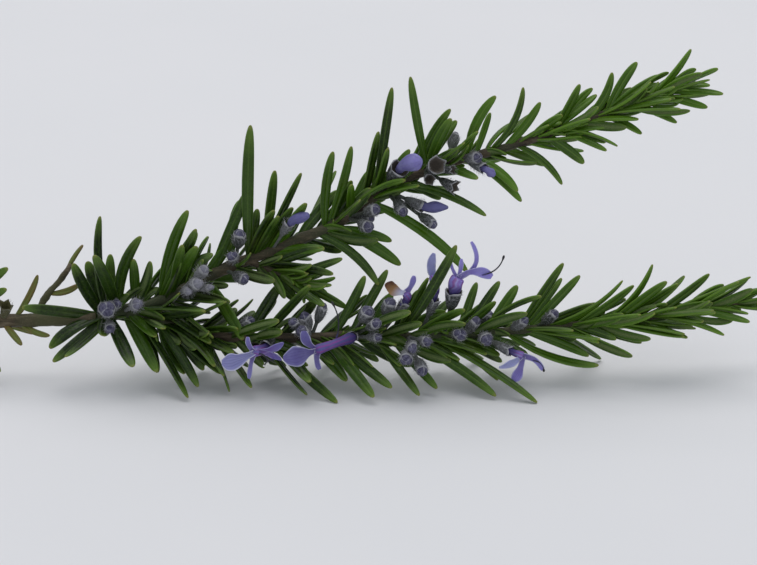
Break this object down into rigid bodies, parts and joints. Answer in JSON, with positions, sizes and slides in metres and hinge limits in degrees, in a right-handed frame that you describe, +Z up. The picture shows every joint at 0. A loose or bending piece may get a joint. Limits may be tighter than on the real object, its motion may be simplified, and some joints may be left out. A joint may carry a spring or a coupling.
{
  "type": "rosemary sprig",
  "caption": "Cut sprig of rosemary lying on a surface: a woody stem forking into two leafy branches with narrow leaves, felted buds and pale blue-violet flowers",
  "frame": {"origin": "middle of the bounding box in X and Y, on the surface the sprig lies on", "axes": "+Z up, +X along the sprig from the cut end to the tips, -Y towards the pictured side"},
  "size_m": [0.1943, 0.0406, 0.0712],
  "materials": {
    "bark": "grey-brown woody stem, matt, finely furrowed",
    "leaf": "fresh leathery leaf, dark green and slightly glossy above, pale felt below",
    "old_leaf": "ageing leaf, yellow-green to brown, matt",
    "calyx": "felted grey-violet calyx, matt with short pale hairs",
    "corolla": "thin blue-violet petal, soft and slightly translucent"
  },
  "bodies": {
    "root": {"woody_stem": "bark", "upper_branch": "leaf", "lower_branch": "leaf", "side_shoot": "leaf", "stub_twig": "old_leaf", "old_leaf_tall": "old_leaf", "old_leaf_low": "old_leaf", "old_leaf_back": "old_leaf", "green_stub": "old_leaf", "end_leaf_upper": "old_leaf", "end_leaf_front": "old_leaf", "end_leaf_back": "old_leaf", "end_leaf_lower": "old_leaf", "dry_calyx": "calyx", "head_tuft_front": "calyx", "head_tuft_shoot": "calyx", "head_upper_1": "calyx", "head_upper_2": "calyx", "head_upper_3": "calyx", "head_upper_4": "calyx", "head_upper_5": "calyx", "head_upper_6": "calyx", "head_upper_7": "calyx", "head_upper_8": "calyx", "head_upper_9": "calyx", "head_upper_10": "calyx", "head_lower_1": "calyx", "head_lower_2": "calyx", "head_lower_3": "calyx", "head_lower_4": "calyx", "head_lower_5": "calyx", "head_lower_6": "calyx", "head_lower_7": "calyx", "head_lower_8": "calyx", "head_lower_9": "calyx", "head_lower_10": "calyx", "head_lower_11": "calyx", "head_lower_12": "calyx", "head_lower_13": "calyx", "corolla_front_left": "corolla", "corolla_front_middle": "corolla", "corolla_tall": "corolla", "corolla_behind": "corolla", "corolla_fading": "corolla", "corolla_front_right": "corolla", "corolla_bud_top": "corolla", "corolla_bud_right": "corolla", "corolla_bud_middle": "corolla", "corolla_bud_left": "corolla"}
  },
  "joints": []
}
